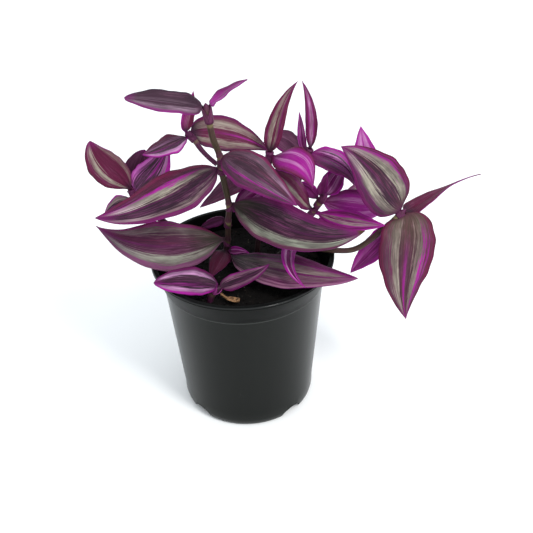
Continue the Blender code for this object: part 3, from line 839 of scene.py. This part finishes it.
# %% [markdown]
# ## Stem finish
#
# A stem is olive brown with fine lines along it, flushed purple where it is young, and paler in the ring at
# each node. Low down, near the middle of the pot, it is painted darker, as painted shade. Every ring of a
# stem's mesh carries three numbers: how pale it is, how purple, and how long the stem is.

# %% Stem material
SHADE_HEIGHTS = (96 * MM, 122 * MM)  # painted shade darkens the stems below these heights
SHADE_SPREAD = (0.0008, 0.0018)  # and near the pot's axis: squares of the distance, in square metres


def stem_material():
    finish = Finish("stem_skin", Specular_IOR_Level=0.15)
    mix, rise = finish.mix, finish.rise
    u, v, _ = finish.split(finish.coordinates("UV"))
    ring, purple, length = finish.attribute("growth")
    x, y, z = finish.split(finish.coordinates("Object"))
    lines = finish.noise(finish.join(u * length * 0.12, v * 22, length), 1.0, 3.0, 0.6)
    patch = finish.noise(finish.coordinates("Object"), 160.0, 3.0)
    # painted shade: the stems are darker low down and near the pot's axis, where the leaves shade them
    painted_shade = (1 - rise(z, *SHADE_HEIGHTS)) * (1 - rise(x * x + y * y, *SHADE_SPREAD))
    color = finish.layers(
        mix(rise(lines, 0.3, 0.7), srgb(50, 43, 32), srgb(88, 77, 54)),
        (rise(patch, 0.42, 0.62) * 0.6, srgb(70, 42, 46)),
        (purple, mix(lines, srgb(62, 26, 48), srgb(112, 40, 92))),
        (ring * (1 - rise(purple, 0.7, 1.0) * 0.6), srgb(146, 134, 92)),
        (painted_shade * 0.75, srgb(34, 22, 26)),
    )
    return finish.done(color, 0.42 + lines * 0.15, lines, 0.3, 0.2)


STEM_SKIN = stem_material()
print("stem finish:", STEM_SKIN.name)

# %% [markdown]
# ## Stems
#
# A stem swells a little at every node, where a leaf's sheath clasps it. A grid is rolled round the
# stem's smooth route: its rows become rings, whose radius follows the distance to the nearest node.

# %% Build the stems
STEM_SIDES = 20
STEPS_PER_STRETCH = 14
SLIMNESS = 0.92  # of the stem's radius, between nodes
NODE_SWELL = 0.18
RING_DROP = 1.2  # mm that a pale ring lies below its node
CROWN_FLARE = 0.32
CROWN_LENGTH = 16.0  # mm below the topmost node, over which the stem thickens
NODE_REACH = 1.1  # mm to either side of a node
YOUNG_LENGTH = 6.0  # mm above a node that stay purple
BUD_LENGTH = 3.2  # mm over which a stem without an end leaf narrows into its bud
PURPLE_STEMS = {"left_shoot": 0.9, "low_front": 0.95, "far_left": 0.6, "middle": 0.3, "back_right": 0.3,
                "inner_right": 0.5, "far_right": 0.5, "right": 0.15, "front": 0.05}


def smooth_route(points, steps):
    """Points of a smooth curve through the route's own points (Catmull-Rom)."""
    ends = [2 * points[0] - points[1], *points, 2 * points[-1] - points[-2]]
    curve = []
    for before, start, end, after in zip(ends, ends[1:], ends[2:], ends[3:]):
        for step in range(steps):
            t = step / steps
            curve.append(0.5 * (2 * start + (end - before) * t
                                + (2 * before - 5 * start + 4 * end - after) * t ** 2
                                + (3 * start - before - 3 * end + after) * t ** 3))
    curve.append(points[-1])
    return curve


def rings_along(path):
    """For each point of a path, its place and two directions across it that don't twist."""
    found = []
    heading = (path[1] - path[0]).normalized()
    across = heading.orthogonal().normalized()
    for index, place in enumerate(path):
        ahead = path[min(index + 1, len(path) - 1)] - path[max(index - 1, 0)]
        across = (heading.rotation_difference(ahead) @ across).normalized()
        heading = ahead.normalized()
        found.append((place, across, heading.cross(across)))
    return found


def build_stem(name, stem):
    path = smooth_route([Vector(point) for point in stem.route], STEPS_PER_STRETCH)
    marks = [0.0]
    for start, end in zip(path, path[1:]):
        marks.append(marks[-1] + (end - start).length)
    held = sorted({leaf.at % len(stem.route) for leaf in LEAVES.values() if leaf.stem == name})
    nodes = [marks[index * STEPS_PER_STRETCH] for index in held]
    terminal = any(leaf.stem == name and leaf.at == END for leaf in LEAVES.values())
    sheath = CROWN_SHEATH if name == "front" else SHEATH_LENGTH
    # The pale ring lies just under the sheath, which reaches further down at the end of a stem.
    rings = [sheath + 1.4 + 0.7 * stem.radius if mark == marks[-1] else RING_DROP for mark in nodes]
    frames = rings_along(path)
    bm = flat_grid(len(path) - 1, STEM_SIDES)
    growth = bm.verts.layers.float_vector.new("growth")
    for vert in bm.verts:
        station = round((vert.co.x + 0.5) * (len(path) - 1))
        angle = (vert.co.y + 0.5) * math.tau
        place, one, two = frames[station]
        away = [marks[station] - node for node in nodes]
        near = max([math.exp(-(gap / NODE_REACH) ** 2) for gap in away], default=0.0)
        young = max([1 - gap / YOUNG_LENGTH for gap in away if 0 <= gap < YOUNG_LENGTH], default=0.0)
        lower = [math.exp(-((gap + ring) / NODE_REACH) ** 2) for gap, ring in zip(away, rings)]
        to_end = marks[-1] - marks[station]
        crown = max(0.0, 1 - to_end / CROWN_LENGTH)
        dome = 1.0 if terminal else min(1.0, to_end / BUD_LENGTH) ** 0.7
        radius = stem.radius * (SLIMNESS + NODE_SWELL * near + CROWN_FLARE * crown ** 1.5) * max(dome, 0.1)
        end = 1 - min(1.0, to_end / YOUNG_LENGTH)
        purple = min(1.0, PURPLE_STEMS[name] + 0.6 * young + end)
        vert[growth] = Vector((0.7 * max(lower, default=0.0), purple, marks[-1]))
        vert.co = (place + (one * math.cos(angle) + two * math.sin(angle)) * radius) * MM
    bmesh.ops.remove_doubles(bm, verts=bm.verts[:], dist=0.005 * MM)
    open_edges = [edge for edge in bm.edges if edge.is_boundary]
    bmesh.ops.holes_fill(bm, edges=open_edges, sides=0)
    bmesh.ops.recalc_face_normals(bm, faces=bm.faces[:])
    finished(name + "_stalk", mesh_of(bm, name), name + "_stem", "stem", STEM_SKIN)


for name, stem in STEMS.items():
    build_stem(name, stem)
print(len(STEMS), "stems")

# %% [markdown]
# ## Pot
#
# The pot is thin moulded plastic: a tapering wall, a flared collar with a small rolled lip, and a raised
# foot with four arches that let water out and a shallow nick between each two. A half profile is spun round
# the axis, its corners are bevelled as a mould would round them, and closed bars cut the arches and nicks
# out of the foot.

# %% Pot profile
POT_SEGMENTS = 144
WALL = 1.2
FOOT_RADIUS = 37.2
FOOT_RING_WIDTH = 2.4
PAD_RADIUS = 22.0
CHANNEL_HEIGHT = 2.4
WALL_FOOT_RADIUS = 39.3
WALL_FOOT_Z = 10.0
WALL_TOP_RADIUS = 45.8
COLLAR_FOOT_RADIUS = 46.5
COLLAR_FOOT_Z = 83.0
COLLAR_TOP_RADIUS = 50.8
LIP_HEIGHT = 1.6
CORNER_ROUND = 0.35
SHARP_CORNER = math.radians(24)  # edges that the mould rounds
SHARP_SHADE = math.radians(32)  # edges that still look sharp afterwards

pot_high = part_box("pot")[1]
POT_HEIGHT = pot_high.z / MM
RIM_RADIUS = pot_high.x / MM
print("pot:", round(POT_HEIGHT, 1), "mm high, rim radius", round(RIM_RADIUS, 2))

ring_inner = FOOT_RADIUS - FOOT_RING_WIDTH
POT_PROFILE = [
    (0.0, 0.0),
    (PAD_RADIUS, 0.0),
    (PAD_RADIUS + 3.0, CHANNEL_HEIGHT),
    (ring_inner - 1.0, CHANNEL_HEIGHT),
    (ring_inner, 0.0),
    (FOOT_RADIUS, 0.0),
    (FOOT_RADIUS + 1.2, 1.6),
    (FOOT_RADIUS + 2.0, 4.8),
    (WALL_FOOT_RADIUS, WALL_FOOT_Z),
    (WALL_TOP_RADIUS, COLLAR_FOOT_Z - 0.8),
    (COLLAR_FOOT_RADIUS, COLLAR_FOOT_Z),
    (COLLAR_TOP_RADIUS, POT_HEIGHT - LIP_HEIGHT - 0.5),
    (RIM_RADIUS, POT_HEIGHT - LIP_HEIGHT),
    (RIM_RADIUS, POT_HEIGHT - 0.4),
    (RIM_RADIUS - 0.4, POT_HEIGHT),
    (COLLAR_TOP_RADIUS - 1.6, POT_HEIGHT),
    (COLLAR_TOP_RADIUS - WALL - 0.9, POT_HEIGHT - LIP_HEIGHT),
    (COLLAR_FOOT_RADIUS - WALL - 0.4, COLLAR_FOOT_Z),
    (WALL_FOOT_RADIUS - WALL, WALL_FOOT_Z),
    (FOOT_RADIUS + 0.6, 6.0),
    (FOOT_RADIUS - 1.4, CHANNEL_HEIGHT + WALL),
    (PAD_RADIUS + 2.4, CHANNEL_HEIGHT + WALL),
    (PAD_RADIUS - 0.6, WALL),
    (0.0, WALL),
]


def lathe(profile, segments):
    """A closed round body from (radius, height) points in millimetres, run bottom to top."""
    bm = bmesh.new()
    points = [bm.verts.new((radius * MM, 0.0, z * MM)) for radius, z in profile]
    for start, end in zip(points, points[1:]):
        bm.edges.new((start, end))
    bmesh.ops.spin(bm, geom=bm.verts[:] + bm.edges[:], cent=(0, 0, 0), axis=(0, 0, 1),
                   angle=math.tau, steps=segments, use_merge=True)
    bmesh.ops.remove_doubles(bm, verts=bm.verts[:], dist=0.01 * MM)
    bmesh.ops.recalc_face_normals(bm, faces=bm.faces[:])
    return bm


# %% Pot body with its arches
ARCH_COUNT = 4
ARCH_WIDTH = 15.0
ARCH_HEIGHT = 5.6
NICK_WIDTH = 5.0
NICK_HEIGHT = 0.9
ARCH_TURN_DEG = -3.0
ARCH_STEPS = 24
ARCH_SILL = 1.0
ARCH_START_RADIUS = 32.8
ARCH_REACH = 9.0


def arch_bar(width, height, degrees):
    """A round-topped bar that crosses the pot's wall at its foot, at one bearing from the front."""
    bearing = math.radians(degrees)
    outward = Vector((math.sin(bearing), -math.cos(bearing), 0.0))
    along = Vector((math.cos(bearing), math.sin(bearing), 0.0))
    sill = Vector((0, 0, -ARCH_SILL))
    bm = bmesh.new()
    ring = [bm.verts.new((along * -width / 2 + sill) * MM)]
    for step in range(ARCH_STEPS + 1):
        angle = math.pi * (1 - step / ARCH_STEPS)
        corner = along * (math.cos(angle) * width / 2) + Vector((0, 0, math.sin(angle) * height))
        ring.append(bm.verts.new(corner * MM))
    ring.append(bm.verts.new((along * width / 2 + sill) * MM))
    face = bm.faces.new(ring)
    bmesh.ops.translate(bm, verts=ring, vec=outward * ARCH_START_RADIUS * MM)
    pushed = bmesh.ops.extrude_face_region(bm, geom=[face])
    moved = [item for item in pushed["geom"] if isinstance(item, bmesh.types.BMVert)]
    bmesh.ops.translate(bm, verts=moved, vec=outward * ARCH_REACH * MM)
    bmesh.ops.recalc_face_normals(bm, faces=bm.faces[:])
    return bm


def scratch_object(bm, name):
    return object_of(mesh_of(bm, name, smooth=False), name)


def build_pot(material):
    bm = lathe(POT_PROFILE, POT_SEGMENTS)
    corners = [edge for edge in bm.edges if edge.calc_face_angle(0.0) > SHARP_CORNER]
    bmesh.ops.bevel(bm, geom=corners, offset=CORNER_ROUND * MM, affect="EDGES", segments=3, profile=0.5,
                    material=-1, clamp_overlap=True)
    body = scratch_object(bm, "pot_body")
    bars = []
    quarter = 360.0 / ARCH_COUNT
    for number in range(ARCH_COUNT):
        bearing = ARCH_TURN_DEG + number * quarter
        bars.append(scratch_object(arch_bar(ARCH_WIDTH, ARCH_HEIGHT, bearing + quarter / 2), "arch"))
        bars.append(scratch_object(arch_bar(NICK_WIDTH, NICK_HEIGHT, bearing), "nick"))
    for bar in bars:
        cut = body.modifiers.new("cut", "BOOLEAN")
        cut.operation = "DIFFERENCE"
        cut.solver = "MANIFOLD"
        cut.object = bar
    bpy.context.view_layer.update()
    mesh = bpy.data.meshes.new_from_object(body.evaluated_get(bpy.context.evaluated_depsgraph_get()))
    for scratch in (body, *bars):
        bpy.data.objects.remove(scratch, do_unlink=True)
    mesh.shade_smooth()
    mesh.set_sharp_from_angle(angle=SHARP_SHADE)
    mesh.materials.clear()
    finished("nursery_pot", mesh, "pot", "pot_plastic", material)
    print("pot faces:", len(mesh.polygons))


# %% [markdown]
# Black polypropylene is slightly glossy. The mould leaves faint upright flow marks, handling leaves fine
# scuffs, and water leaves a little grey bloom on the lip and the foot. The collar is painted darker than the
# wall, as painted shade, and a thin painted highlight runs along the crease at its foot.

# %% Pot material
def pot_material():
    finish = Finish("pot_plastic", Specular_IOR_Level=0.04, Coat_IOR=1.32, Coat_Roughness=0.12)
    mix, rise = finish.mix, finish.rise
    place = finish.coordinates("Object")
    x, y, z = finish.split(place)
    flow = finish.noise(finish.join(x * 90, y * 90, z * 9), 1.0, 4.0, 0.6)
    cloud = finish.noise(place, 28.0, 3.0)
    grain = finish.noise(place, 1500.0, 2.0)
    scuff = rise(finish.noise(finish.join(x * 300, y * 300, z * 60), 1.0, 3.0, 0.7), 0.66, 0.80)
    bloom = rise(z, (POT_HEIGHT - 5) * MM, POT_HEIGHT * MM) * 0.2 + (1 - rise(z, 0.0, 9 * MM))
    # painted shade: the collar's colour is darker than the wall's, and it gets less coat
    collar = rise(z, (COLLAR_FOOT_Z - 1) * MM, COLLAR_FOOT_Z * MM) * 0.7
    # painted highlight: a thin light line along the crease at the collar's foot
    crease = rise(z, (COLLAR_FOOT_Z - 1.3) * MM, (COLLAR_FOOT_Z - 0.9) * MM)
    crease = crease * (1 - rise(z, COLLAR_FOOT_Z * MM, (COLLAR_FOOT_Z + 0.5) * MM))
    color = finish.layers(
        mix(flow, srgb(11, 14, 12), srgb(19, 22, 19)),
        (scuff * 0.20, srgb(66, 70, 68)),
        (bloom * cloud * 0.15, srgb(80, 84, 80)),
        (collar, srgb(6, 7, 7)),
        (crease * 0.32, srgb(84, 88, 84)),
    )
    radius = (x * x + y * y) ** 0.5
    corner = rise(z, (POT_HEIGHT - 0.9) * MM, (POT_HEIGHT - 0.5) * MM)
    corner = corner * rise(radius, (RIM_RADIUS - 0.7) * MM, (RIM_RADIUS - 0.4) * MM)
    finish.feed("Coat Weight", 0.40 - 0.56 * collar + 1.2 * corner)
    return finish.done(color, 0.30 + cloud * 0.10 + scuff * 0.2, grain * 0.5 + flow * 0.5, 0.12, 0.2)


build_pot(pot_material())

# %% [markdown]
# ## Soil
#
# Potting soil is peat: nearly black when damp, crumbly, with a few brown fibres and pale specks. The body is
# spun like the pot, with its top finely divided and pushed up and down by noise. Loose crumbs, small
# twenty-sided lumps with their corners shaken, are strewn over it.

# %% Soil material
def soil_material():
    finish = Finish("soil_crumb", Specular_IOR_Level=0.08)
    mix, rise = finish.mix, finish.rise
    place = finish.coordinates("Object")
    coarse = finish.noise(place, 260.0, 5.0, 0.65)
    fine = finish.noise(place, 1400.0, 3.0, 0.6)
    speck = rise(finish.noise(place, 620.0, 1.0), 0.70, 0.76)
    fibre = rise(finish.noise(place, 120.0, 4.0), 0.55, 0.72)
    color = finish.layers(
        mix(coarse, srgb(5, 5, 5), srgb(25, 22, 21)),
        (fibre * 0.25, srgb(50, 42, 36)),
        (speck * 0.4, srgb(92, 86, 76)),
    )
    return finish.done(color, 0.82 + fine * 0.15, coarse + fine * 0.6, 0.9, 0.8)


SOIL_CRUMB = soil_material()

# %% Soil body
SOIL_SEGMENTS = 120
SOIL_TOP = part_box("soil")[1].z / MM
SOIL_TOP_RADIUS = COLLAR_FOOT_RADIUS - WALL + 0.1
SOIL_RINGS = 34
SOIL_ROUGHNESS = 1.1
SOIL_SINK = 0.4  # mm that its surface lies below the top of the box, before it is pushed about


def soil_profile():
    floor_z = CHANNEL_HEIGHT + WALL + 0.3
    wall_top = pot_inner_radius(COLLAR_FOOT_Z - 1.0) - 0.6
    sides = [
        (0.0, WALL + 0.3),
        (PAD_RADIUS - 1.2, WALL + 0.3),
        (PAD_RADIUS + 1.9, floor_z),
        (FOOT_RADIUS - 2.4, floor_z),
        (FOOT_RADIUS - 0.1, 6.3),
        (pot_inner_radius(WALL_FOOT_Z + 0.5) - 0.3, WALL_FOOT_Z + 0.5),
        (wall_top, COLLAR_FOOT_Z - 1.0),
    ]
    top_z = SOIL_TOP - SOIL_SINK
    return sides + [(SOIL_TOP_RADIUS * (1 - ring / SOIL_RINGS), top_z) for ring in range(SOIL_RINGS + 1)]


def pot_inner_radius(z):
    share = (z - WALL_FOOT_Z) / (COLLAR_FOOT_Z - WALL_FOOT_Z)
    return WALL_FOOT_RADIUS + share * (WALL_TOP_RADIUS - WALL_FOOT_RADIUS) - WALL


def soil_height(x, y):
    """How far the soil's surface rises or sinks at a place, in millimetres."""
    lumps = noise.fractal(Vector((x, y, 0.0)) * 0.11, 0.9, 2.1, 4)
    clods = noise.noise(Vector((x, y, 5.0)) * 0.42) * 0.7
    return SOIL_ROUGHNESS * (lumps + clods)


soil_bm = lathe(soil_profile(), SOIL_SEGMENTS)
for vert in soil_bm.verts:
    x, y, z = vert.co / MM
    if z > SOIL_TOP - 1.0:
        edge = min(1.0, (SOIL_TOP_RADIUS + 0.5 - math.hypot(x, y)) / 3.0)
        vert.co.z += (soil_height(x, y) * edge - 0.6 * (1 - edge)) * MM
finished("potting_soil", mesh_of(soil_bm, "potting_soil"), "soil", "soil", SOIL_CRUMB)
print("soil top at", round(SOIL_TOP, 1), "mm")

# %% Soil crumbs
CRUMB_COUNT = 1500
CRUMB_SIZES = (0.35, 1.6)
CRUMB_FLATNESS = (0.6, 1.0)
CHIP_COUNT = 60
CHIP_SIZES = (0.5, 1.7)
CHIP_FLATNESS = (0.25, 0.6)


def build_crumbs(name, count, sizes, flatness, material, seed):
    """Many small lumps that lie on the soil, as one piece."""
    shake = random.Random(seed)
    bm = bmesh.new()
    for _ in range(count):
        distance = (SOIL_TOP_RADIUS - 0.8) * math.sqrt(shake.random())
        angle = shake.uniform(0, math.tau)
        x, y = distance * math.cos(angle), distance * math.sin(angle)
        size = sizes[0] + (sizes[1] - sizes[0]) * shake.random() ** 3
        lump = bmesh.ops.create_icosphere(bm, subdivisions=1, radius=size / 2 * MM)["verts"]
        for vert in lump:
            vert.co *= shake.uniform(0.7, 1.25)
        stretch = Matrix.Diagonal((1.0, shake.uniform(*flatness), shake.uniform(*flatness)))
        spin = Matrix.Rotation(angle * 7, 3, Vector((shake.random(), shake.random(), 0.3)).normalized())
        z = SOIL_TOP - SOIL_SINK + soil_height(x, y) + size * 0.2
        bmesh.ops.transform(bm, matrix=(spin @ stretch).to_4x4(), verts=lump)
        bmesh.ops.translate(bm, verts=lump, vec=Vector((x, y, z)) * MM)
    bmesh.ops.recalc_face_normals(bm, faces=bm.faces[:])
    piece = finished(name, mesh_of(bm, name, smooth=False), None, "soil", material)
    print(name, len(piece.data.polygons), "faces")


build_crumbs("soil_crumbs", CRUMB_COUNT, CRUMB_SIZES, CRUMB_FLATNESS, SOIL_CRUMB, seed=5)


def chip_material():
    finish = Finish("soil_chip", Specular_IOR_Level=0.3)
    grain = finish.noise(finish.coordinates("Object"), 700.0, 3.0)
    color = finish.mix(grain, srgb(44, 36, 30), srgb(112, 102, 88))
    return finish.done(color, 0.7 + grain * 0.2, grain, 0.6, 0.3)


build_crumbs("soil_chips", CHIP_COUNT, CHIP_SIZES, CHIP_FLATNESS, chip_material(), seed=8)

# %% [markdown]
# ## Shed leaf
#
# One small dead leaf lies at the front. It is tan and papery, with its ends and edges curled up. A grid
# like the blades' makes it, bent by a simple curl, with darker veins and blotches.

# %% Shed leaf
DRY_LEAF_ENDS = ((-12, -29, 87.8), (-2, -35, 87.8))
DRY_LEAF_WIDTH = 5.0
DRY_LEAF_THICKNESS = 0.35
DRY_LEAF_CURL = 1.5
DRY_LEAF_CRUMPLE = 0.9
DRY_LEAF_BLUNTNESS = 0.25
DRY_LEAF_GRID = (24, 10)
DRY_LEAF_OUTLINE = (0.68, 1.6, 0.5)  # where it is widest, its taper and its point


def dry_leaf_material():
    finish = Finish("dry_leaf", Specular_IOR_Level=0.25)
    mix, rise = finish.mix, finish.rise
    u, v, _ = finish.split(finish.coordinates("UV"))
    veins = finish.noise(finish.join(u * 3, v * 18, 1.0), 1.0, 4.0, 0.6)
    blotch = finish.noise(finish.join(u * 4, v * 3, 4.0), 1.0, 3.0)
    color = mix(veins, srgb(112, 74, 46), srgb(214, 168, 122))
    color = mix(rise(blotch, 0.45, 0.6) * 0.8, color, srgb(70, 46, 32))
    return finish.done(color, 0.7 + blotch * 0.2, veins + blotch, 0.8, 0.5)


dry_bm = flat_grid(*DRY_LEAF_GRID)
start, end = (Vector(point) for point in DRY_LEAF_ENDS)
dry_side = Vector((0, 0, 1)).cross(end - start).normalized()
for vert in dry_bm.verts:
    share, across = vert.co.x + 0.5, 2 * vert.co.y
    wide = DRY_LEAF_WIDTH / 2 * max(half_width(share, *DRY_LEAF_OUTLINE), DRY_LEAF_BLUNTNESS)
    curl = DRY_LEAF_CURL * ((2 * share - 1) ** 2 + across ** 2)
    crumple = DRY_LEAF_CRUMPLE * noise.noise(Vector((share * 5, across * 1.6, 3.0)))
    place = start.lerp(end, share) + dry_side * across * wide
    vert.co = (place + Vector((0, 0, curl + crumple))) * MM
bmesh.ops.recalc_face_normals(dry_bm, faces=dry_bm.faces[:])
dry_leaf = finished("shed_leaf", mesh_of(dry_bm, "shed_leaf"), "dry_leaf", "dry_leaf", dry_leaf_material())
thicken(dry_leaf, DRY_LEAF_THICKNESS)
print("shed leaf ready")
